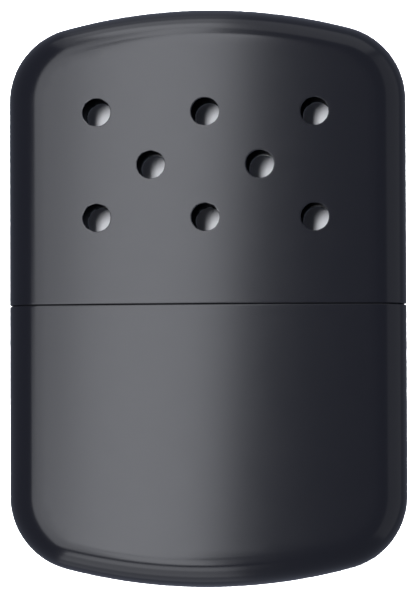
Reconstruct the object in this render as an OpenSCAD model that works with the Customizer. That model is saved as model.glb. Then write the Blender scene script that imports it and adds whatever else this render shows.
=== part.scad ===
// Catalytic hand warmer: a drawn lid that slides over the collar of a drawn fuel base,
// with a catalytic burner that pushes onto the filler neck. It lies on its back:
// X runs across it, Y from the foot to the top of the lid, and Z out of the front.

/* [Body] */
// Width across the straight sides
body_w = 68; // [62:0.5:76]
// Thickness through the crest of the faces
body_t = 13.4; // [12.6:0.1:16]
// Height of the lid above the parting line
lid_h = 50.7; // [46:0.1:58]
// Height of the base below the parting line
base_h = 48.2; // [42:0.1:56]
// Corner radius in front view
corner_r = 12.8; // [10:0.2:16]
// Radius of the long arc across the top and the foot
end_r = 94.6; // [80:0.2:120]
// Radius of the crown across each face
crown_r = 270; // [230:5:400]
// Width of the rolled edge around each face
edge_w = 5.2; // [4.4:0.1:6]
// Thickness of the drawn sheet of lid and base
wall = 0.4; // [0.3:0.05:0.5]
// Width of the parting line between lid and base
seam_gap = 0.2; // [0.1:0.05:0.3]

/* [Vents] */
// Diameter of a vent
vent_d = 4.8; // [3.6:0.1:5.6]
// Distance between the vents of a three-vent row
vent_pitch = 18.6; // [15:0.2:20]
// Distance between rows
vent_row_pitch = 9; // [7:0.2:10]
// Height of the lowest row above the parting line
vent_rise = 14.8; // [14:0.2:17]

/* [Collar and deck] */
// Height of the collar above the parting line
collar_rise = 6.2; // [5:0.2:8]
// Depth of the collar inside the base
collar_lap = 6; // [4:0.2:9]
// Thickness of the collar
collar_wall = 0.4; // [0.3:0.05:0.5]
// Clearance of the collar inside lid and base
collar_gap = 0.08; // [0.05:0.01:0.1]
// Depth of the deck below the collar's rim
deck_drop = 5; // [4:0.2:7]
// Thickness of the deck
deck_wall = 0.4; // [0.3:0.05:0.5]
// Height of the deck's turned-up flange
deck_flange = 2.4; // [1.6:0.1:3.4]
// Solder gap round the deck and the neck
solder_gap = 0.05; // [0.03:0.01:0.08]

/* [Filler neck] */
// Outside length of the neck
neck_l = 33; // [28:0.5:38]
// Outside width of the neck
neck_w = 7.4; // [7:0.1:7.8]
// Height of the neck above the deck
neck_rise = 4.2; // [3.6:0.1:4.6]
// Thickness of the neck
neck_wall = 0.45; // [0.35:0.05:0.6]
// Width of the flange under the deck
neck_flange = 1; // [0.6:0.1:1.2]

/* [Burner] */
// Clearance of the burner on the neck
burner_gap = 0.06; // [0.04:0.01:0.1]
// Thickness of the burner body
burner_wall = 0.4; // [0.3:0.05:0.5]
// Clearance under the burner's foot
foot_gap = 0.3; // [0.2:0.05:0.5]
// Diameter of a vapour port
port_d = 2.6; // [2:0.1:3]
// Distance between vapour ports
port_pitch = 4.2; // [3.6:0.1:6]
// Thickness of the cage
cage_wall = 0.4; // [0.3:0.05:0.5]
// Clearance of the cage on the burner body
cage_gap = 0.05; // [0.03:0.01:0.08]
// Height of the chamber between burner body and cage
chamber_h = 4.5; // [4:0.1:4.8]
// Overlap of the cage on the burner body
cage_lap = 2.6; // [1.8:0.1:3]
// Outer radius of the cage's top edge
cage_edge = 1; // [0.6:0.1:1.2]
// Width of a window in the cage
window_w = 1.7; // [1.3:0.1:1.9]
// Distance between windows
window_pitch = 2.6; // [2.4:0.1:3]
// Height of the cage's side windows
window_h = 2.6; // [2:0.1:3]
// Angle between the windows round each end of the cage
end_window_turn = 50; // [44:1:58]
// Width of the grille bar along the middle of the cage's top
spine_w = 1; // [0.8:0.1:1.4]
// Wire diameter of the gauze
wire_d = 0.3; // [0.24:0.02:0.36]
// Distance between the wires of the gauze
wire_pitch = 1.3; // [1.1:0.1:1.6]

/* [Soft parts] */
// Clearance round the fuel packing and the catalyst mat
soft_gap = 0.3; // [0.2:0.05:0.4]
// Rounding of the catalyst mat's edges
mat_edge = 0.8; // [0.5:0.1:1.1]

/* [Hidden] */
$fn = 64;

// Facets along each corner, along each end arc (odd, so that a flat strip lies on the
// crest) and across each rolled edge of the drawn shells.
corner_steps = 10;
end_steps = 11;
edge_steps = 7;
// How far a cutter runs past the face that it opens.
past = 1;

black_paint = "#1d1e23";
nickel = "#b8b7b2";
steel = "#a3a29e";
cotton = "#efece2";
glass_fibre = "#8f8b84";

mid_z = body_t / 2;
parting_y = (base_h - lid_h) / 2;

// Heights along Y, from the collar up through the burner
collar_top_y = parting_y + collar_rise;
collar_foot_y = parting_y - collar_lap;
deck_y = collar_top_y - deck_drop;
neck_foot_y = deck_y - deck_wall - neck_wall;
neck_top_y = deck_y + neck_rise;
plate_y = neck_top_y + burner_gap;
chamber_y = plate_y + burner_wall;
ceiling_y = chamber_y + chamber_h;

// Insets from the outside of the body to each nested skin
collar_inset = wall + collar_gap;
deck_inset = collar_inset + collar_wall + solder_gap;

// Half widths of the nested neck, burner body and cage
neck_r = neck_w / 2;
body_in_r = neck_r + burner_gap;
body_out_r = body_in_r + burner_wall;
cage_in_r = body_out_r + cage_gap;
cage_out_r = cage_in_r + cage_wall;
// Distance between the centres of their round ends
span = neck_l - neck_w;
// Places along the straight middle at a pitch, for openings of width w
function row(pitch, w) =
    let (n = floor((span - w) / 2 / pitch)) [for (i = [-n : n]) i * pitch];

// ---- The body's form ----

// Centre of a corner, across the body
corner_x = body_w / 2 - corner_r;
// Direction of the outline's normal where the corner meets the end arc
joint_angle = acos(corner_x / (end_r - corner_r));
// Directions of the outline's normal, from the right side over the end to the left side
normals = concat(
    [for (i = [0 : corner_steps - 1]) joint_angle * i / corner_steps],
    [for (i = [0 : end_steps]) joint_angle + (180 - 2 * joint_angle) * i / end_steps],
    [for (i = [corner_steps - 1 : -1 : 0]) 180 - joint_angle * i / corner_steps]);
// Steps of the rolled edge, from the back face round the rim to the front face
edge_turns = [for (i = [-edge_steps : edge_steps]) 90 * i / edge_steps];

// Half thickness of the crowned body at x
function half_t(x) = body_t / 2 - crown_r + sqrt(crown_r * crown_r - x * x);

// Point of the front outline of a cup of height h, drawn in by d, where its normal points to a
function outline(h, a, d) =
    let (end_y = h - end_r, corner_y = end_y + (end_r - corner_r) * sin(joint_angle))
    a < joint_angle ? [corner_x + (corner_r - d) * cos(a), corner_y + (corner_r - d) * sin(a)]
    : a > 180 - joint_angle ? [-corner_x + (corner_r - d) * cos(a), corner_y + (corner_r - d) * sin(a)]
    : [(end_r - d) * cos(a), end_y + (end_r - d) * sin(a)];

// How far the rolled edge has come in from the outline at turn t, on a skin that lies inset deep
function edge_in(inset, t) = inset + (edge_w - inset) * (1 - cos(t));
// Height of a skin that lies inset deep, at x and turn t
function skin_z(inset, x, t) = (half_t(x) - inset) * sin(t);

// The x of each face strip, and the cross-section of a skin that lies inset deep
strips = [for (a = normals) outline(lid_h, a, edge_w)[0]];
function section(inset) =
    let (last = len(strips) - 1, inner_turns = [for (i = [1 : 2 * edge_steps - 1]) edge_turns[i]],
         side = [for (t = inner_turns)
                 let (x = body_w / 2 - edge_in(inset, t)) [x, skin_z(inset, x, t)]])
    concat([for (x = strips) [x, half_t(x) - inset]],
           [for (p = side) [-p[0], -p[1]]],
           [for (i = [last : -1 : 0]) [strips[i], inset - half_t(strips[i])]],
           side);

// Solid inside a skin of a cup of height h, from the plane y = start to the end of the cup
module pillow(h, inset, start) {
    points = concat(
        [for (p = section(inset)) [p[0], start, p[1]]],
        [for (a = normals) for (t = edge_turns)
            let (p = outline(h, a, edge_in(inset, t))) [p[0], p[1], skin_z(inset, p[0], t)]]);
    hull() polyhedron(points, [for (i = [0 : len(points) - 3]) [i, i + 1, i + 2]]);
}

// Drawn cup of height h, open at the parting line
module drawn_cup(h) {
    difference() {
        pillow(h, 0, seam_gap / 2);
        pillow(h, wall, seam_gap / 2 - past);
    }
}

// Places a cup's own frame on the parting line, and turns the base's cup to the foot
module lid_place() translate([0, parting_y, mid_z]) children();
module base_place() translate([0, parting_y, mid_z]) mirror([0, 1, 0]) children();

// Draws in the plane across the body and extrudes towards the lid
module along_y(y) translate([0, y, mid_z]) rotate([-90, 0, 0]) children();

// Slab of the body's cross-section between two heights
module slab(inset, y0, y1) along_y(y0) linear_extrude(y1 - y0) polygon(section(inset));

// ---- Lid and base ----

// The 3-2-3 vents, as [x, y] from the parting line
vents = [for (line = [0 : 2]) for (x = line == 1 ? [-0.5, 0.5] : [-1, 0, 1])
         [x * vent_pitch, vent_rise + line * vent_row_pitch]];

module lid_shell() {
    color(black_paint) lid_place() difference() {
        drawn_cup(lid_h);
        for (v = vents) translate([v[0], v[1], -body_t]) cylinder(d = vent_d, h = 2 * body_t);
    }
}

module base_shell() {
    color(black_paint) base_place() drawn_cup(base_h);
}

// ---- Collar, deck and fuel packing ----

module collar() {
    color(nickel) difference() {
        slab(collar_inset, collar_foot_y, collar_top_y);
        slab(collar_inset + collar_wall, collar_foot_y - past, collar_top_y + past);
    }
}

module tank_deck() {
    color(nickel) difference() {
        slab(deck_inset, deck_y - deck_wall, deck_y - deck_wall + deck_flange);
        slab(deck_inset + deck_wall, deck_y, deck_y + deck_flange);
        along_y(deck_y - deck_wall - past) linear_extrude(deck_wall + 2 * past)
            obround_2d(neck_r + solder_gap);
    }
}

module fuel_packing() {
    shoulder = collar_lap + soft_gap;
    color(cotton) {
        base_place() pillow(base_h, wall + soft_gap, shoulder);
        slab(deck_inset + soft_gap, parting_y - shoulder - past, neck_foot_y - soft_gap);
    }
}

// ---- Obround sweeps: neck and burner ----

// Outline at distance r from the line between the two end centres
module obround_2d(r) {
    for (s = [-1, 1]) translate([s * span / 2, 0]) circle(r);
    translate([-span / 2, -r]) square([span, 2 * r]);
}

// Sweeps a half profile, drawn as [distance from the centre line, height], round the obround
module obround_sweep(y) {
    along_y(y) {
        for (s = [-1, 1]) translate([s * span / 2, 0, 0]) rotate([0, 0, s * 90 - 180])
            rotate_extrude(angle = 180) children();
        for (s = [0, 1]) translate([-span / 2, 0, 0]) rotate([90, 0, 90]) linear_extrude(span)
            mirror([s, 0]) children();
    }
}

// Half profile of a cap: a side wall and a flat top with rounded corners
module cap_profile(out_r, thick, h, edge) {
    difference() {
        union() {
            square([out_r - edge, h]);
            square([out_r, h - edge]);
            translate([out_r - edge, h - edge]) circle(edge);
        }
        translate([0, -past]) square([out_r - thick, h - thick + past]);
    }
}

module filler_neck() {
    lip = neck_wall / 2;
    color(nickel) obround_sweep(neck_foot_y) {
        h = neck_top_y - neck_foot_y;
        translate([neck_r - neck_wall, 0]) square([neck_wall, h - lip]);
        translate([neck_r - lip, h - lip]) circle(lip);
        translate([neck_r - neck_wall, 0]) square([neck_wall + neck_flange, neck_wall]);
    }
}

module burner_body() {
    foot_y = deck_y + foot_gap;
    // The bend of the pressed sheet, a little wider than its thickness
    bend = 1.5 * burner_wall;
    color(steel) difference() {
        obround_sweep(foot_y) cap_profile(body_out_r, burner_wall, chamber_y - foot_y, bend);
        for (x = row(port_pitch, 0)) along_y(plate_y - past)
            translate([x, 0, 0]) cylinder(d = port_d, h = burner_wall + 2 * past);
    }
}

// The gauze's cross wires lie on its long wires, and sink into them a little where they are fused
gauze_fuse = wire_d / 5;
gauze_top_y = chamber_y + 2 * wire_d - gauze_fuse;

module burner_gauze() {
    reach = cage_in_r - soft_gap;
    long_wires = floor((reach - wire_d) / wire_pitch);
    cross_wires = floor((span / 2 + reach - wire_d) / wire_pitch);
    color(steel) {
        for (i = [-long_wires : long_wires]) {
            z = i * wire_pitch;
            half = span / 2 + sqrt(reach * reach - z * z);
            translate([-half, chamber_y + wire_d / 2, mid_z + z]) rotate([0, 90, 0])
                cylinder(d = wire_d, h = 2 * half, $fn = 24);
        }
        for (i = [-cross_wires : cross_wires]) {
            x = i * wire_pitch;
            half = sqrt(reach * reach - pow(max(0, abs(x) - span / 2), 2));
            translate([x, gauze_top_y - wire_d / 2, mid_z - half]) cylinder(d = wire_d, h = 2 * half, $fn = 24);
        }
    }
}

module catalyst_mat() {
    r = cage_in_r - soft_gap;
    h = ceiling_y - gauze_top_y - soft_gap;
    color(glass_fibre) obround_sweep(gauze_top_y) {
        translate([0, mat_edge]) square([r, h - 2 * mat_edge]);
        square([r - mat_edge, h]);
        for (v = [mat_edge, h - mat_edge]) translate([r - mat_edge, v]) circle(mat_edge);
    }
}

module burner_cage() {
    cage_h = ceiling_y + cage_wall - chamber_y + cage_lap;
    window_y = ceiling_y - cage_edge / 2 - window_h;
    slot_l = cage_out_r - cage_edge - spine_w / 2;
    color(steel) difference() {
        obround_sweep(chamber_y - cage_lap) cap_profile(cage_out_r, cage_wall, cage_h, cage_edge);
        for (x = row(window_pitch, window_w)) translate([x, 0, mid_z]) {
            // side windows, right through both sides
            translate([-window_w / 2, window_y, -cage_out_r - past])
                cube([window_w, window_h, 2 * (cage_out_r + past)]);
            // slots of the top grille, either side of the spine
            for (s = [0, 1]) mirror([0, 0, s]) translate([-window_w / 2, ceiling_y - past, spine_w / 2])
                cube([window_w, cage_wall + 2 * past, slot_l]);
        }
        // three windows round each end
        for (s = [-1, 1]) for (i = [-1 : 1]) along_y(window_y)
            translate([s * span / 2, 0, 0]) rotate([0, 0, 90 - s * 90 + i * end_window_turn])
                translate([0, -window_w / 2, 0]) cube([cage_out_r + past, window_w, window_h]);
    }
}

lid_shell();
base_shell();
collar();
tank_deck();
filler_neck();
fuel_packing();
burner_body();
burner_gauze();
catalyst_mat();
burner_cage();
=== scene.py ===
"""The catalytic hand warmer's looks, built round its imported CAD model: a matte black drawn case
lying on its back, a vented lid over a nickel collar, and the burner on its filler neck."""
import math
import random

import bmesh
import bpy
from mathutils import Matrix, Vector, noise
from mathutils.geometry import delaunay_2d_cdt


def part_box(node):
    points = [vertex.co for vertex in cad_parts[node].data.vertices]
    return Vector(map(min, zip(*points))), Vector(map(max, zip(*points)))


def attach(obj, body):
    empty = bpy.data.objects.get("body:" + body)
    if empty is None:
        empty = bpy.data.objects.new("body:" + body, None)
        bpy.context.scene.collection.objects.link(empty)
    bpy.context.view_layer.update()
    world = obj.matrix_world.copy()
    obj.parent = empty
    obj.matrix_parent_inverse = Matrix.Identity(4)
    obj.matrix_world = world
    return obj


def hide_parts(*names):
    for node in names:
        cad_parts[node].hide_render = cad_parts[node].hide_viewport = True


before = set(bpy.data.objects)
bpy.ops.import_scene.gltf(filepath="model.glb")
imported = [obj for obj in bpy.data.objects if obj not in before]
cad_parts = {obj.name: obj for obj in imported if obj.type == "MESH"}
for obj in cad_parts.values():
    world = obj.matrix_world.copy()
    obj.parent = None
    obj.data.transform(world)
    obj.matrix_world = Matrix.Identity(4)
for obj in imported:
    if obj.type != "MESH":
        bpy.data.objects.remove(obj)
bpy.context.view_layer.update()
mm = 0.001

# ---- Camera ----
# A long lens about a metre above the front face, a little off its axis, so that each vent
# shows a crescent of the lid's inside. The photograph's frame is 419 by 600.
image_height = 600
photo_scale = 0.1711 * mm              # one pixel, on the plane through the middle of the body
photo_centre = Vector((0.27, -0.31)) * mm
camera_height = 950 * mm
camera_side = Vector((58, -45)) * mm
camera_roll = math.radians(0.2)
base_low, base_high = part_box("base_shell")
lid_low, lid_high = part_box("lid_shell")
middle = (lid_low.z + lid_high.z) / 2 / mm

camera_data = bpy.data.cameras.new("camera")
camera = bpy.data.objects.new("camera", camera_data)
bpy.context.scene.collection.objects.link(camera)
bpy.context.scene.camera = camera
aim = Vector((*photo_centre, middle * mm))
camera.location = aim + Vector((*camera_side, camera_height))
backward = (camera.location - aim).normalized()
across = Vector((0, 1, 0)).cross(backward).normalized()
upward = backward.cross(across)
camera.matrix_world = (Matrix.Translation(camera.location)
                       @ Matrix((across, upward, backward)).transposed().to_4x4()
                       @ Matrix.Rotation(-camera_roll, 4, "Z"))
camera_data.lens = (camera_data.sensor_width * (camera.location - aim).length
                    / (image_height * photo_scale))
camera_data.clip_start = 10 * mm
camera_data.clip_end = 20.0

# ---- Fuel base ----
# The lower half is one cup drawn from 0.4 mm brass sheet, with crowned faces and an edge that
# rolls round the outline. It is powder coated, and the coat wraps round the cut edge of its
# rim. Sizes from here on are in millimetres until they reach a mesh.
corner_r = 12.8
end_r = 94.6
crown_r = 270
edge_w = 5.2
sheet = 0.4
coat_film = 0.03                       # it takes up this much of the parting line on each rim
rim_round = 0.19
body_w = (lid_high.x - lid_low.x) / mm
body_t = (lid_high.z + lid_low.z) / mm
parting_y = (lid_low.y + base_high.y) / 2 / mm
half_gap = (lid_low.y - base_high.y) / 2 / mm - coat_film
lid_h = lid_high.y / mm - parting_y
base_h = parting_y - base_low.y / mm
corner_x = body_w / 2 - corner_r
joint = math.acos(corner_x / (end_r - corner_r))      # where the corner's arc meets the end's
face_step = 1.3                        # about the size of the mesh's triangles on a face
guard = 0.1                            # a narrow row beside each edge keeps the face's shading flat
corner_step = 0.045                    # radians between stations round a corner,
end_step = 0.018                       # and along an end
weld = 0.002                           # points closer than this become one
turns = [math.radians(7.5 * i) for i in range(-12, 13)]
quarter = [math.radians(22.5 * i) for i in range(5)]


def half_t(x):
    """Half thickness of the crowned body at x."""
    return body_t / 2 - crown_r + math.sqrt(crown_r ** 2 - x ** 2)


def edge_in(inset, turn):
    """How far the rolled edge has come in from the outline, on a skin that lies inset deep."""
    return inset + (edge_w - inset) * (1 - math.cos(turn))


def spaced(start, end, step):
    """Evenly spaced values from start to end, about a step apart."""
    count = max(1, round(abs(end - start) / step))
    return [start + (end - start) * i / count for i in range(count + 1)]


def stations(height, rim):
    """Places round a cup's outline, from the right of its rim over its end to the left: each is
    the centre, the radius and the direction of the arc there."""
    end_y = height - end_r
    corner_y = end_y + (end_r - corner_r) * math.sin(joint)
    side = [rim, rim + guard, *spaced(rim + 1, corner_y, 2)[:-1]]
    right = [(corner_x, y, corner_r, 0) for y in side]
    right += [(corner_x, corner_y, corner_r, a) for a in spaced(0, joint, corner_step)]
    end = [(0, end_y, end_r, a) for a in spaced(joint, math.pi - joint, end_step)[1:-1]]
    left = [(-x, y, r, math.pi - a) for x, y, r, a in reversed(right)]
    return right + end + left


def depth(x, y, height):
    """How far a point of a cup's face lies in from the front outline."""
    end_y = height - end_r
    dx, dy = abs(x) - corner_x, y - end_y - (end_r - corner_r) * math.sin(joint)
    if dx > 0 and dy > 0 and math.atan2(dy, dx) < joint:
        return corner_r - math.hypot(dx, dy)
    return min(body_w / 2 - abs(x), end_r - math.hypot(x, y - end_y))


def skin_point(station, inset, turn):
    """A point of the rolled edge."""
    x, y, radius, angle = station
    reach = radius - edge_in(inset, turn)
    x += reach * math.cos(angle)
    return x, y + reach * math.sin(angle), (half_t(x) - inset) * math.sin(turn)


rim_x = spaced(edge_w - body_w / 2, body_w / 2 - edge_w, face_step)


def section(inset, y):
    """The closed cross-section of the body at y, on a skin that lies inset deep."""
    side_x = [(body_w / 2 - edge_in(inset, t), t) for t in reversed(turns)]
    side = [(x, y, (half_t(x) - inset) * math.sin(t)) for x, t in side_x]
    front = [(x, y, half_t(x) - inset) for x in rim_x[1:-1]]
    return front + side + [(-x, y, -z) for x, y, z in front] + [(-x, y, -z) for x, y, z in side]


def circle(centre, radius, count=48):
    """Points round a circle."""
    turn = 2 * math.pi / count
    return [(centre[0] + radius * math.cos(i * turn), centre[1] + radius * math.sin(i * turn))
            for i in range(count)]


def filled(loops, loose, keep=lambda point: True):
    """Triangles over a flat region bounded by closed loops, through loose points, where keep says."""
    points = [Vector(p) for loop in loops for p in loop] + [Vector(p) for p in loose]
    edges, first = [], 0
    for loop in loops:
        edges += [(first + i, first + (i + 1) % len(loop)) for i in range(len(loop))]
        first += len(loop)
    flat, _, faces, *_ = delaunay_2d_cdt(points, edges, [], 0, 1e-6)
    faces = [f for f in faces if keep(sum((flat[i] for i in f), Vector((0, 0))) / len(f))]
    return flat, faces


def patch(bm, rows):
    """Adds a sheet of quads between rows of points in mm, each of which closes on itself if its
    ends meet."""
    made = [[bm.verts.new(Vector(p) * mm) for p in row] for row in rows]
    for low, high in zip(made, made[1:]):
        for i in range(len(low) - 1):
            bm.faces.new((low[i], low[i + 1], high[i + 1], high[i]))


def closed(loop):
    """A loop of points, with its first again at its end."""
    return [*loop, loop[0]]


def tiles(bm, points, faces):
    """Adds faces over points in mm."""
    made = [bm.verts.new(Vector(p) * mm) for p in points]
    for face in faces:
        bm.faces.new([made[i] for i in face])


def piece(name, bm, material):
    """Welds what was added, and makes it a smooth-shaded object of this material."""
    bmesh.ops.remove_doubles(bm, verts=bm.verts, dist=weld * mm)
    bmesh.ops.recalc_face_normals(bm, faces=bm.faces)
    for face in bm.faces:
        face.smooth = True
    mesh = bpy.data.meshes.new(name)
    bm.to_mesh(mesh)
    bm.free()
    mesh.materials.append(material)
    obj = bpy.data.objects.new(name, mesh)
    bpy.context.scene.collection.objects.link(obj)
    return obj


def placed(points, direction):
    """Points of a cup's own frame, set on the parting line with its end along +Y (1) or -Y (-1)."""
    return [(x, parting_y + direction * y, middle + z) for x, y, z in points]


def skin(bm, height, direction, inset, start, vents=()):
    """Adds one skin of a cup, from start to its end: the rolled edge and the crowned faces."""
    line = stations(height, start)
    patch(bm, [placed([skin_point(s, inset, t) for t in turns], direction) for s in line])
    # the skins stop short of each vent's bore by the rounding of its edges
    hole_r = vent_d / 2 + vent_round
    holes = [circle(v, hole_r) for v in vents]
    rings = [p for v in vents for grow in (guard, 0.35, 0.85) for p in circle(v, hole_r + grow)]
    border = [skin_point(s, inset, math.pi / 2)[:2] for s in line] + [(x, start) for x in rim_x[1:-1]]
    grid = [(x, start + guard) for x in rim_x[1:-1]]
    grid += [(x, y) for x in rim_x[1:-1] for y in spaced(start, height, face_step)[1:]
             if depth(x, y, height) > edge_w + 0.6 * face_step
             and all(math.dist((x, y), v) > hole_r + face_step for v in vents)]
    flat, faces = filled([border, *holes], rings + grid,
                         lambda p: all(math.dist(p, v) > vent_d / 2 for v in vents))
    for side in (1, -1):
        tiles(bm, placed([(p.x, p.y, side * (half_t(p.x) - inset)) for p in flat], direction), faces)


def drawn_cup(name, height, direction, vents, material):
    """One half of the case, open at the parting line."""
    bm = bmesh.new()
    start = half_gap + rim_round
    for inset in (0, sheet):
        skin(bm, height, direction, inset, start, vents)
    # the rim's cut edge, rounded on both corners
    out = [(rim_round * (1 - math.cos(a)), start - rim_round * math.sin(a)) for a in quarter]
    edge = out + [(sheet - inset, y) for inset, y in reversed(out)]
    patch(bm, [closed(placed(section(inset, y), direction)) for inset, y in edge])
    # the vents' walls, rounded alike
    bore = vent_d / 2
    out = [(bore + vent_round * (1 - math.sin(a)), vent_round * (1 - math.cos(a))) for a in quarter]
    wall = out + [(radius, sheet - inset) for radius, inset in reversed(out)]
    for vent in vents:
        for side in (1, -1):
            rings = [[(x, y, side * (half_t(x) - inset)) for x, y in circle(vent, radius)]
                     for radius, inset in wall]
            patch(bm, [closed(placed(ring, direction)) for ring in rings])
    return piece(name, bm, material)


def srgb(code):
    """A colour written as sRGB hex, as the linear RGBA that the shaders take."""
    parts = [int(code[i:i + 2], 16) / 255 for i in (1, 3, 5)]
    return (*(c / 12.92 if c <= 0.04045 else ((c + 0.055) / 1.055) ** 2.4 for c in parts), 1)


def node(material, kind, links=None, **settings):
    """Adds a shader node. links gives its inputs, as values or as the sockets that they come from."""
    made = material.node_tree.nodes.new(kind)
    for name, value in settings.items():
        setattr(made, name, value)
    for name, value in (links or {}).items():
        if isinstance(value, bpy.types.NodeSocket):
            material.node_tree.links.new(value, made.inputs[name])
        else:
            made.inputs[name].default_value = value
    return made


def surface(name, **values):
    """A new material, its shader and its place in the object's own coordinates."""
    material = bpy.data.materials.new(name)
    material.use_nodes = True
    shader = material.node_tree.nodes["Principled BSDF"]
    for socket, value in values.items():
        shader.inputs[socket.replace("_", " ")].default_value = value
    where = node(material, "ShaderNodeTexCoord").outputs["Object"]
    return material, shader, where


def finish_surface(material, shader, colour=None, rough=None, normal=None):
    """Links what varies over a surface to its shader."""
    for socket, output in (("Base Color", colour), ("Roughness", rough), ("Normal", normal)):
        if output:
            material.node_tree.links.new(output, shader.inputs[socket])
    return material


def black_powder_coat():
    """Powder coat is sprayed dry and baked, so it lies in a fine, even grain. To the eye it is a
    soft black with a broad, dim shine and no clear reflection."""
    grain, wave = 0.35 * mm, 4 * mm
    material, shader, where = surface("black_powder_coat", IOR=1.5)
    fine = node(material, "ShaderNodeTexNoise", {"Vector": where, "Scale": 1 / grain, "Detail": 3.0})
    broad = node(material, "ShaderNodeTexNoise", {"Vector": where, "Scale": 1 / wave, "Detail": 2.0})
    shade = node(material, "ShaderNodeMix", {"Factor": fine.outputs["Fac"], "A": srgb("#08080d"),
                                             "B": srgb("#0e0e16")}, data_type="RGBA")
    matt = node(material, "ShaderNodeMapRange", {"Value": broad.outputs["Fac"], "From Min": 0.3,
                                                 "From Max": 0.7, "To Min": 0.178, "To Max": 0.188})
    bump = node(material, "ShaderNodeBump", {"Height": fine.outputs["Fac"], "Strength": 0.04,
                                             "Distance": 0.02 * mm})
    return finish_surface(material, shader, shade.outputs["Result"], matt.outputs["Result"],
                          bump.outputs["Normal"])


vent_d = 4.8
vent_round = 0.1
coat = black_powder_coat()
base = drawn_cup("fuel_base", base_h, -1, [], coat)
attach(base, "base")
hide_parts("base_shell")

# ---- Collar ----
# A sleeve of nickel-plated brass, soldered into the mouth of the base. The lid slides over it,
# so its outside shows the finest lines, and its upper edge is rounded to lead the lid on.
collar_low, collar_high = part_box("collar")
collar_inset = (lid_high.x - collar_high.x) / mm
collar_wall = 0.4
collar_round = 0.16


def plated_sheet(name, dark, light, rough):
    """Plated sheet keeps the faint lines of its drawing along the body, and clouds a little with
    handling. To the eye it is a warm silver with a soft, stretched shine."""
    line, cloud_size, streak = 0.25 * mm, 6 * mm, 0.08
    material, shader, where = surface(name, Metallic=1.0)
    stretch = node(material, "ShaderNodeMapping", {"Vector": where, "Scale": (1, streak, 1)})
    lines = node(material, "ShaderNodeTexNoise", {"Vector": stretch.outputs["Vector"], "Scale": 1 / line,
                                                  "Detail": 3.0})
    cloud = node(material, "ShaderNodeTexNoise", {"Vector": where, "Scale": 1 / cloud_size,
                                                  "Detail": 3.0})
    tone = node(material, "ShaderNodeMix", {"Factor": cloud.outputs["Fac"], "A": srgb(dark),
                                            "B": srgb(light)}, data_type="RGBA")
    matt = node(material, "ShaderNodeMapRange", {"Value": lines.outputs["Fac"], "From Min": 0.3,
                                                 "From Max": 0.7, "To Min": rough - 0.05,
                                                 "To Max": rough + 0.05})
    bump = node(material, "ShaderNodeBump", {"Height": lines.outputs["Fac"], "Strength": 0.08,
                                             "Distance": 0.02 * mm})
    return finish_surface(material, shader, tone.outputs["Result"], matt.outputs["Result"],
                          bump.outputs["Normal"])


def rounded_edge(inset, wall, y, round_r, up=1):
    """Half profile of a sheet's edge at y, from its outside to its inside, as (inset, y)."""
    outer = [(round_r * (1 - math.cos(a)), y - up * round_r * (1 - math.sin(a))) for a in quarter]
    return ([(inset + i, h) for i, h in outer]
            + [(inset + wall - i, h) for i, h in reversed(outer)])


def sleeve(bm, profile):
    """Adds the body's cross-section swept along a profile of (inset, y)."""
    patch(bm, [closed([(x, y, middle + z) for x, _, z in section(inset, y)]) for inset, y in profile])


nickel = plated_sheet("satin_nickel_plate", "#c9c5bb", "#b3aea4", 0.24)
top = rounded_edge(collar_inset, collar_wall, collar_high.y / mm, collar_round)
foot = rounded_edge(collar_inset, collar_wall, collar_low.y / mm, collar_round, up=-1)
levels = spaced(collar_low.y / mm + 0.3, collar_high.y / mm - 0.3, 1.5)
outside = [(collar_inset, y) for y in levels]
inside = [(collar_inset + collar_wall, y) for y in reversed(levels)]
bm = bmesh.new()
sleeve(bm, closed(outside + top + inside + foot[::-1]))
collar = piece("collar_sleeve", bm, nickel)
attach(collar, "base")
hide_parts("collar")

# ---- Coat at the collar's root, and painted shade in the parting line ----
# The base was sprayed with its collar masked above the parting line, so a thin skirt of the coat runs
# a little way up the collar. Its dead matt black, darker than the coat, is painted shade for the shadow
# in the parting line.
skirt_top = parting_y + 0.35
skirt_foot = parting_y - 1
seat = 0.01                            # how far trim is set into, or off, the face it lies on


def groove_shade_coat():
    """A dead matt black, darker than the powder coat: painted shade for the shadow in the parting line.
    """
    grain = 0.2 * mm
    material, shader, where = surface("parting_line_painted_shade", IOR=1.5, Roughness=0.8)
    fine = node(material, "ShaderNodeTexNoise", {"Vector": where, "Scale": 1 / grain, "Detail": 3.0})
    shade = node(material, "ShaderNodeMix", {"Factor": fine.outputs["Fac"], "A": srgb("#040406"),
                                             "B": srgb("#08080b")}, data_type="RGBA")
    return finish_surface(material, shader, shade.outputs["Result"])


bm = bmesh.new()
film_out, film_in = collar_inset - coat_film, collar_inset + seat
sleeve(bm, closed([(film_out, skirt_foot), (film_out, skirt_top - 0.1),
                   (collar_inset - coat_film / 2, skirt_top),
                   (film_in, skirt_top), (film_in, skirt_foot)]))
# the skirt's dead matt black is painted shade, standing in for the shadow in the parting line
skirt = piece("coat_skirt_painted_shade", bm, groove_shade_coat())
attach(skirt, "base")

# ---- Tank deck ----
# A pan pressed from the same plated sheet closes the tank. Its flange is turned up inside the
# collar, and the filler neck comes up through the obround hole in its middle.
deck_low, deck_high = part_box("tank_deck")
deck_inset = (lid_high.x - deck_high.x) / mm
deck_wall = 0.4
deck_bend = 0.6                        # inside radius of the bend
deck_y = deck_low.y / mm + deck_wall
deck_under = deck_y - deck_wall
deck_rim = deck_high.y / mm
deck_round = 0.14
neck_r = 3.7
neck_half = 12.8                       # from the middle to the centre of each round end
solder_gap = 0.05                      # the hole clears the neck by this much, for the solder
deck_hole_r = neck_r + solder_gap


def obround(r):
    """Points round an obround, at r from the line between its end centres, as (x, z)."""
    half_turn = spaced(-math.pi / 2, math.pi / 2, 0.13)
    end = [(neck_half + r * math.cos(a), r * math.sin(a)) for a in half_turn]
    straight = [(x, r) for x in spaced(neck_half, -neck_half, 1.3)[1:-1]]
    half = end + straight
    return half + [(-x, -z) for x, z in half]


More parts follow.
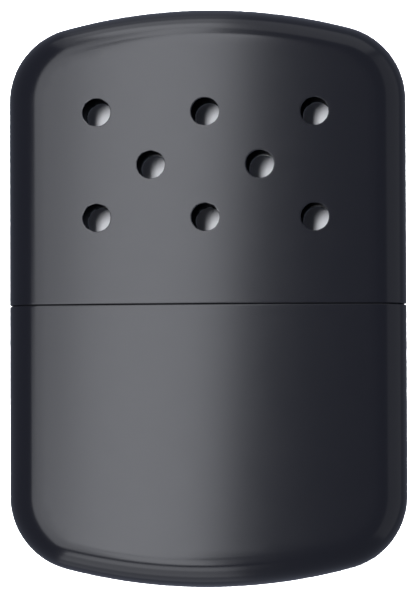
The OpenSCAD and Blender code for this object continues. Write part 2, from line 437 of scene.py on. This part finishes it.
def within(x, z):
    """Distance of a point from the line between the end centres."""
    return math.hypot(max(0, abs(x) - neck_half), z)


def plate(bm, outer, hole_r, y):
    """Adds a flat plate at y between an outer loop of (x, z) points and an obround hole."""
    grid = [(x, z) for x in spaced(-29, 29, 1.5) for z in spaced(-6, 6, 1.5)
            if within(x, z) > hole_r + 0.5 and abs(z) < half_t(x) - 2.2]
    flat, faces = filled([outer, obround(hole_r)], grid, lambda p: within(p.x, p.y) > hole_r)
    tiles(bm, [(p.x, y, middle + p.y) for p in flat], faces)


def loop_at(inset):
    """The body's cross-section as a loop of (x, z) points."""
    return [(x, z) for x, _, z in section(inset, 0)]


bm = bmesh.new()
in_wall = deck_inset + deck_wall
out_bend = deck_bend + deck_wall
inner_bend = [(in_wall + deck_bend * (1 - math.sin(a)), deck_y + deck_bend * (1 - math.cos(a)))
              for a in quarter]
outer_bend = [(deck_inset + out_bend * (1 - math.cos(a)), deck_under + out_bend * (1 - math.sin(a)))
              for a in quarter]
brim = rounded_edge(deck_inset, deck_wall, deck_rim, deck_round)
sleeve(bm, inner_bend + brim[::-1] + outer_bend)
plate(bm, loop_at(in_wall + deck_bend), deck_hole_r, deck_y)
plate(bm, loop_at(deck_inset + out_bend), deck_hole_r, deck_under)
patch(bm, [closed([(x, y, middle + z) for x, z in obround(deck_hole_r)]) for y in (deck_y, deck_under)])
deck = piece("deck_pan", bm, nickel)
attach(deck, "base")
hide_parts("tank_deck")

# ---- Solder ----
# Soft solder seals the neck into the deck and the deck into the collar. It was run round by
# hand, so each fillet is hollow-faced and swells and thins a little along its length.
fillet = 0.55
neck_fillet = 0.28                     # low enough to pass under the burner's foot
solder_lift = 0.005                    # keeps the neck's fillet just off the deck's face


def soft_solder():
    """Tin solder, wiped and cooled. To the eye it is a duller, greyer silver than the plate."""
    lump_size = 0.9 * mm
    material, shader, where = surface("soft_solder", Metallic=1.0)
    lump = node(material, "ShaderNodeTexNoise", {"Vector": where, "Scale": 1 / lump_size, "Detail": 3.0})
    tone = node(material, "ShaderNodeMix", {"Factor": lump.outputs["Fac"], "A": srgb("#a2a4a6"),
                                            "B": srgb("#bfc0c0")}, data_type="RGBA")
    matt = node(material, "ShaderNodeMapRange", {"Value": lump.outputs["Fac"], "From Min": 0.3,
                                                 "From Max": 0.7, "To Min": 0.28, "To Max": 0.45})
    bump = node(material, "ShaderNodeBump", {"Height": lump.outputs["Fac"], "Strength": 0.3,
                                             "Distance": 0.05 * mm})
    return finish_surface(material, shader, tone.outputs["Result"], matt.outputs["Result"],
                          bump.outputs["Normal"])


def swell(x, z):
    """How thick the hand-run fillet is at a place, as a share of its nominal size."""
    return 1 + 0.16 * noise.noise(Vector((x, 0, z)) / 3.1)


solder = soft_solder()
bm = bmesh.new()
hollow = [(neck_fillet * (1 - math.sin(a)), neck_fillet * (1 - math.cos(a))) for a in quarter]
patch(bm, [closed([(x, deck_y + solder_lift + rise * swell(x, z), middle + z)
                   for x, z in obround(neck_r + seat + away)])
           for away, rise in [*hollow, (0, 0), hollow[0]]])
neck_solder = piece("neck_solder", bm, solder)
bm = bmesh.new()
collar_face = collar_inset + collar_wall + seat
bead_foot = deck_rim - 0.1
bead = [(collar_face + 0.5 * fillet * (1 - math.sin(a)), deck_rim + fillet * (1 - math.cos(a)))
        for a in quarter]
bead += [(collar_face, bead_foot), (bead[0][0], bead_foot), bead[0]]
patch(bm, [closed([(x, y + 0.06 * noise.noise(Vector((x, 5, z)) / 2.6), middle + z)
                   for x, _, z in section(i, 0)]) for i, y in bead])
deck_solder = piece("deck_solder", bm, solder)
for run in (neck_solder, deck_solder):
    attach(run, "base")

# ---- Filler neck ----
# A drawn obround tube of plated brass with a rolled lip, which the fuel is poured through. Its
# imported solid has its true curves, so it takes the plate as it is.
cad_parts["filler_neck"].material_slots[0].material = nickel

# ---- Cotton packing ----
# Loose cotton wool fills the tank and soaks up the fuel. It shows only down the neck, where
# its lumpy top lies just under the neck's foot, with single fibres standing out of it.
pack_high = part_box("fuel_packing")[1]
pack_inset = (lid_high.x - pack_high.x) / mm
pack_top = pack_high.y / mm
soft_gap = 0.3                         # the wool lies at least this far from the collar
shoulder = parting_y - collar_low.y / mm + soft_gap
throat_inset = deck_inset + soft_gap
top_round = 0.9
top_inset = throat_inset + top_round
top_lumps = 1.7                        # about the size of the lumps on its top,
side_lumps = 5                         # and on its sides
neck_wall = 0.45
bore_r = neck_r - neck_wall - 0.15     # inside the neck's wall, with room for a fibre
cotton_fibres = 260
fibre_r = 0.035                        # coarser than cotton's 0.008 mm, so that it shows


def cotton_wool():
    """Carded cotton, never spun. To the eye it is a warm white with a soft, fuzzy edge."""
    fibre = 0.22 * mm
    material, shader, where = surface("cotton_wool", Roughness=0.95, IOR=1.45, Sheen_Weight=0.5,
                                      Sheen_Roughness=0.5)
    warp = node(material, "ShaderNodeTexNoise", {"Vector": where, "Scale": 1 / (2 * mm), "Detail": 2.0})
    bend = node(material, "ShaderNodeMix", {"Factor": 0.004, "A": where, "B": warp.outputs["Color"]},
                data_type="VECTOR")
    fuzz = node(material, "ShaderNodeTexNoise", {"Vector": bend.outputs["Result"], "Scale": 1 / fibre,
                                                 "Detail": 5.0, "Roughness": 0.7})
    tone = node(material, "ShaderNodeMix", {"Factor": fuzz.outputs["Fac"], "A": srgb("#d9d2c2"),
                                            "B": srgb("#f6f3ea")}, data_type="RGBA")
    bump = node(material, "ShaderNodeBump", {"Height": fuzz.outputs["Fac"], "Strength": 0.6,
                                             "Distance": 0.12 * mm})
    return finish_surface(material, shader, tone.outputs["Result"], normal=bump.outputs["Normal"])


def lump(x, y, z, size):
    """How far loose wool has settled in at a place."""
    return noise.fractal(Vector((x, y, z)) / size, 0.8, 2.0, 3) - 0.6


def strand(bm, points, radius):
    """Adds one fibre, a thin closed three-sided tube along points in mm."""
    rings = []
    for i, point in enumerate(points):
        along = (points[min(i + 1, len(points) - 1)] - points[max(i - 1, 0)]).normalized()
        side = along.orthogonal().normalized()
        rings.append([bm.verts.new((point + radius * (Matrix.Rotation(a, 3, along) @ side)) * mm)
                      for a in (0, 2 * math.pi / 3, 4 * math.pi / 3)])
    for low, high in zip(rings, rings[1:]):
        for i in range(3):
            bm.faces.new((low[i], low[(i + 1) % 3], high[(i + 1) % 3], high[i]))
    bm.faces.new(rings[0])
    bm.faces.new(rings[-1][::-1])


def strewn(draw, top):
    """A place in the top of a soft piece for a fibre to start from."""
    return Vector((draw.uniform(-15, 15), top - draw.uniform(0, 0.2), middle + draw.uniform(-2.6, 2.6)))


def kept_in(point, room, ceiling):
    """A point moved back under ceiling, and within an obround wall that is room from its middle line."""
    line = Vector((max(-neck_half, min(neck_half, point.x)), point.y, middle))
    away = point - line
    kept = line + away * min(1.0, room / max(away.length, 0.001))
    return Vector((kept.x, min(kept.y, ceiling), kept.z))


def wander(draw, start, length, curl, steps, room, ceiling):
    """Points of a fibre that wanders over the top of a soft piece from its start, inside its room."""
    heading = draw.uniform(0, 2 * math.pi)
    points = [kept_in(start, room, ceiling)]
    for _ in range(steps):
        heading += draw.uniform(-curl, curl)
        rise = draw.uniform(-0.25, 0.25)
        step = Vector((math.cos(heading), rise, math.sin(heading))) * (length / steps)
        points.append(kept_in(points[-1] + step, room, ceiling))
    return points


bm = bmesh.new()
skin(bm, base_h, -1, pack_inset, shoulder)
ledge = parting_y - shoulder
sleeve(bm, [(pack_inset, ledge), (throat_inset, ledge + 0.05), (throat_inset, pack_top - top_round),
            (throat_inset + 0.2, pack_top - 0.35), (top_inset, pack_top)])
mouth_grid = [(x, z) for x in spaced(-17, 17, 0.45) for z in spaced(-4, 4, 0.45)]
flat, faces = filled([loop_at(top_inset)], mouth_grid)
tiles(bm, [(p.x, pack_top, middle + p.y) for p in flat], faces)
bmesh.ops.remove_doubles(bm, verts=bm.verts, dist=weld * mm)
for vert in bm.verts:
    x, y, z = vert.co / mm
    if y > pack_top - 0.01:
        vert.co.y -= max(0.0, 0.35 + 0.45 * lump(x, y, z, top_lumps)) * mm
    else:
        vert.co.z += (middle - z) * max(0.0, 0.03 + 0.04 * lump(x, y, z, side_lumps)) * mm
draw = random.Random(4)
for _ in range(cotton_fibres):
    start = strewn(draw, pack_top)
    strand(bm, wander(draw, start, draw.uniform(2, 5), curl=0.7, steps=7, room=bore_r,
                      ceiling=pack_top + 1.5), fibre_r)
packing = piece("cotton_packing", bm, cotton_wool())
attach(packing, "base")
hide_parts("fuel_packing")

# ---- Burner body and gauze ----
# A cap pressed from thin stainless sheet pushes onto the neck, and vapour rises through the
# round ports in its top to a wire gauze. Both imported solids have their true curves.
tint_reach = 3 * mm                    # how far the heat tint's edge wanders


def pressed_stainless(name, tint=None, tint_from=0.0, tint_to=1.0):
    """Pressed stainless sheet, bright with a fine grain, and its edges are broken. Where it has
    been hot, it is tinted straw to brown. To the eye it is a cool grey metal."""
    grain, patch_size = 0.3 * mm, 4 * mm
    material, shader, where = surface(name, Metallic=1.0)
    fine = node(material, "ShaderNodeTexNoise", {"Vector": where, "Scale": 1 / grain, "Detail": 4.0})
    colour = node(material, "ShaderNodeMix", {"Factor": fine.outputs["Fac"], "A": srgb("#a5a5a4"),
                                              "B": srgb("#b9b9b7")}, data_type="RGBA").outputs["Result"]
    if tint:
        height = node(material, "ShaderNodeSeparateXYZ", {"Vector": where}).outputs["Y"]
        patches = node(material, "ShaderNodeTexNoise", {"Vector": where, "Scale": 1 / patch_size,
                                                        "Detail": 2.0})
        shifted = node(material, "ShaderNodeMath", {0: patches.outputs["Fac"], 1: tint_reach, 2: height},
                       operation="MULTIPLY_ADD")
        heat = node(material, "ShaderNodeMapRange", {"Value": shifted.outputs["Value"],
                                                     "From Min": tint_from, "From Max": tint_to})
        colour = node(material, "ShaderNodeMix", {"Factor": heat.outputs["Result"], "A": colour,
                                                  "B": srgb(tint)}, data_type="RGBA").outputs["Result"]
    matt = node(material, "ShaderNodeMapRange", {"Value": fine.outputs["Fac"], "From Min": 0.3,
                                                 "From Max": 0.7, "To Min": 0.24, "To Max": 0.36})
    broken = node(material, "ShaderNodeBevel", {"Radius": 0.08 * mm}, samples=4)
    bump = node(material, "ShaderNodeBump", {"Height": fine.outputs["Fac"], "Strength": 0.06,
                                             "Distance": 0.02 * mm, "Normal": broken.outputs["Normal"]})
    return finish_surface(material, shader, colour, matt.outputs["Result"], bump.outputs["Normal"])


steel = pressed_stainless("pressed_stainless")
for name in ("burner_body", "burner_gauze"):
    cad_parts[name].material_slots[0].material = steel

# ---- Catalyst mat ----
# A pad of felted glass fibre that carries the platinum, laid on the gauze under the cage. It is
# grey from the metal, and single fibres lie loose on its top.
mat_low, mat_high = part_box("catalyst_mat")
mat_r = (mat_high.z - mat_low.z) / 2 / mm
mat_edge = 0.8
mat_lumps = 1.3                        # about the size of the lumps on its faces
glass_fibres = 420
glass_r = 0.03                         # coarser than glass fibre's 0.01 mm, so that it shows


def platinised_felt():
    """Glass fibre felt with platinum deposited on it. To the eye it is a dull, warm grey, darker
    where the fibres lie close."""
    fibre = 0.18 * mm
    material, shader, where = surface("platinised_felt", Roughness=0.85, IOR=1.5, Sheen_Weight=0.2)
    fuzz = node(material, "ShaderNodeTexNoise", {"Vector": where, "Scale": 1 / fibre, "Detail": 6.0,
                                                 "Roughness": 0.75})
    tone = node(material, "ShaderNodeMix", {"Factor": fuzz.outputs["Fac"], "A": srgb("#57534e"),
                                            "B": srgb("#9b968e")}, data_type="RGBA")
    bump = node(material, "ShaderNodeBump", {"Height": fuzz.outputs["Fac"], "Strength": 0.7,
                                             "Distance": 0.1 * mm})
    return finish_surface(material, shader, tone.outputs["Result"], normal=bump.outputs["Normal"])


bm = bmesh.new()
foot_y, head_y = mat_low.y / mm, mat_high.y / mm
rolled = [(mat_r - mat_edge * (1 - math.cos(a)), mat_edge * (1 - math.sin(a))) for a in quarter]
profile = [(r, foot_y + rise) for r, rise in reversed(rolled)]
profile += [(mat_r, y) for y in spaced(foot_y + mat_edge, head_y - mat_edge, 0.5)[1:-1]]
profile += [(r, head_y - rise) for r, rise in rolled]
patch(bm, [closed([(x, y, middle + z) for x, z in obround(r)]) for r, y in profile])
for y in (foot_y, head_y):
    flat_r = mat_r - mat_edge
    grid = [(x, z) for x in spaced(-16, 16, 0.5) for z in spaced(-3, 3, 0.5)
            if within(x, z) < flat_r - 0.3]
    flat, faces = filled([obround(flat_r)], grid)
    tiles(bm, [(p.x, y, middle + p.y) for p in flat], faces)
bmesh.ops.remove_doubles(bm, verts=bm.verts, dist=weld * mm)
for vert in bm.verts:
    x, y, z = vert.co / mm
    settle = max(0.0, 0.12 + 0.16 * lump(x, y, z, mat_lumps))
    centre = Vector((max(-neck_half, min(neck_half, x)), (foot_y + head_y) / 2, middle))
    vert.co += (centre * mm - vert.co).normalized() * settle * mm
for _ in range(glass_fibres):
    start = strewn(draw, head_y)
    strand(bm, wander(draw, start, draw.uniform(1.2, 3), curl=0.3, steps=4, room=mat_r,
                      ceiling=head_y + 0.2), glass_r)
felt = piece("catalyst_felt", bm, platinised_felt())
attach(felt, "burner")
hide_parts("catalyst_mat")

# ---- Burner cage ----
# The slotted cap that holds the mat down, pressed from the same stainless sheet as the burner
# body. It runs hottest along its top, so it is tinted there.
cage_low, cage_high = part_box("burner_cage")
hot = pressed_stainless("heat_tinted_stainless", "#96815f", cage_low.y + tint_reach,
                        cage_high.y + tint_reach)
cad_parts["burner_cage"].material_slots[0].material = hot

# ---- Lid ----
# The upper half is drawn from the same sheet as the base and coated alike, inside too. The
# 3-2-3 vents are punched through both faces, in line, and the coat rounds their edges.
vent_pitch = 18.6
vent_row_pitch = 9
vent_rise = 14.8
vents = [(x * vent_pitch, vent_rise + line * vent_row_pitch)
         for line, places in enumerate(((-1, 0, 1), (-0.5, 0.5), (-1, 0, 1))) for x in places]
lid = drawn_cup("vented_lid", lid_h, 1, vents, coat)
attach(lid, "lid")
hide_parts("lid_shell")

# ---- Floor ----
# A plain pale card. Lamps of its own burn it out to white, and it is kept out of the coat's
# reflections, which show only the dim studio round it.
def pale_card():
    """Pale matt card."""
    material, shader, where = surface("pale_matt_card", Roughness=0.9, Base_Color=srgb("#e6e6e6"))
    speck = node(material, "ShaderNodeTexNoise", {"Vector": where, "Scale": 1 / (2 * mm), "Detail": 4.0})
    bump = node(material, "ShaderNodeBump", {"Height": speck.outputs["Fac"], "Strength": 0.05,
                                             "Distance": 0.05 * mm})
    return finish_surface(material, shader, normal=bump.outputs["Normal"])


bm = bmesh.new()
bmesh.ops.create_circle(bm, cap_ends=True, segments=96, radius=6.0)
floor = piece("floor", bm, pale_card())
floor.visible_diffuse = False
floor.visible_glossy = False

# ---- Lights ----
# A long soft strip over the left of the object, in three runs, gives the broad shine down the
# face. Dimmer lamps beside it light the rolled left edge, and panels light the rolled ends.
def lamp(name, place, aim, size, glow, colour="#f7f9ff"):
    """A soft rectangular lamp of an even glow at place, turned to aim."""
    data = bpy.data.lights.new(name, "AREA")
    data.shape = "RECTANGLE"
    data.size, data.size_y = size
    data.energy = glow * math.pi * size[0] * size[1]
    data.color = srgb(colour)[:3]
    obj = bpy.data.objects.new(name, data)
    bpy.context.scene.collection.objects.link(obj)
    obj.location = place
    toward = Vector(aim) - Vector(place)
    obj.rotation_euler = toward.to_track_quat("-Z", "Y").to_euler()
    return obj


def link_floor(lamps, state):
    """Lets lamps light the floor alone (INCLUDE), or everything but the floor (EXCLUDE)."""
    linked = bpy.data.collections.new(state.lower() + "_floor")
    linked.objects.link(floor)
    linked.collection_objects[0].light_linking.link_state = state
    for obj in lamps:
        obj.light_linking.receiver_collection = linked


above = 1.1
# overhead, each lamp has the x and y of its middle, its width, its length, its glow and its turn
overhead = (("strip_middle", -0.157, 0.09, 0.278, 0.9, 4.4, -11),
            ("strip_far", -0.2, 0.955, 0.3, 0.79, 3.9, 0),
            ("strip_near", -0.22, -0.69, 0.34, 0.62, 3.8, 0),
            ("side_far", -0.455, 0.7, 0.33, 1.29, 2.0, 0),
            ("side_near", -0.63, -0.478, 0.6, 1.05, 2.0, 0))
studio = []
for name, x, y, width, length, glow, turn in overhead:
    studio.append(lamp(name, (x, y, above), (x, y, 0), (width, length), glow))
    studio[-1].rotation_euler.rotate_axis("Z", math.radians(turn))
# past each end of the strip, panels come down past the horizon and dim as they go: each has
# the height of its middle, its own height and its glow
far_levels = ((0.75, 0.7, 3.0), (0.15, 0.5, 1.2), (-0.35, 0.5, 0.4), (-0.9, 0.6, 0.1))
near_levels = ((0.7, 0.5, 2.4), (0.15, 0.6, 1.2), (-0.45, 0.6, 0.4))
ends = (("far", -0.28, 1.4, 0.54, far_levels), ("near", -0.32, -1.2, 0.68, near_levels))
for end, x, y, width, levels in ends:
    for level, (z, height, glow) in enumerate(levels):
        studio.append(lamp(f"{end}_panel_{level}", (x, y, z), (x, 0, z), (width, height), glow))
studio.append(lamp("far_wall", (0.2, 1.7, 0.65), (0.2, 0, 0.65), (2.6, 1.7), 0.5))
studio.append(lamp("right_wall", (1.5, 0.1, 0.45), (0, 0.1, 0.45), (2.6, 1.5), 0.25))
link_floor(studio, "EXCLUDE")

# the floor's own lamps: one shines in through the vents from the upper left, and the others
# stand too low to reach through them
floor_lamps = [lamp("vent_light", (-0.166, 0.115, above), (-0.166, 0.115, 0), (0.11, 0.2), 140)]
for index, angle in enumerate((65, 115, 245, 295)):
    spot = Vector((math.cos(math.radians(angle)), math.sin(math.radians(angle)), 0.62))
    floor_lamps.append(lamp(f"floor_lamp_{index}", spot, (0, 0, 0), (0.35, 0.35), 160, "#ffffff"))
link_floor(floor_lamps, "INCLUDE")

world = bpy.data.worlds.new("studio")
bpy.context.scene.world = world
world.use_nodes = True
world.node_tree.nodes["Background"].inputs["Color"].default_value = srgb("#d2daf2")
world.node_tree.nodes["Background"].inputs["Strength"].default_value = 0.36
bpy.context.scene.view_settings.view_transform = "Standard"
bpy.context.scene.view_settings.look = "None"
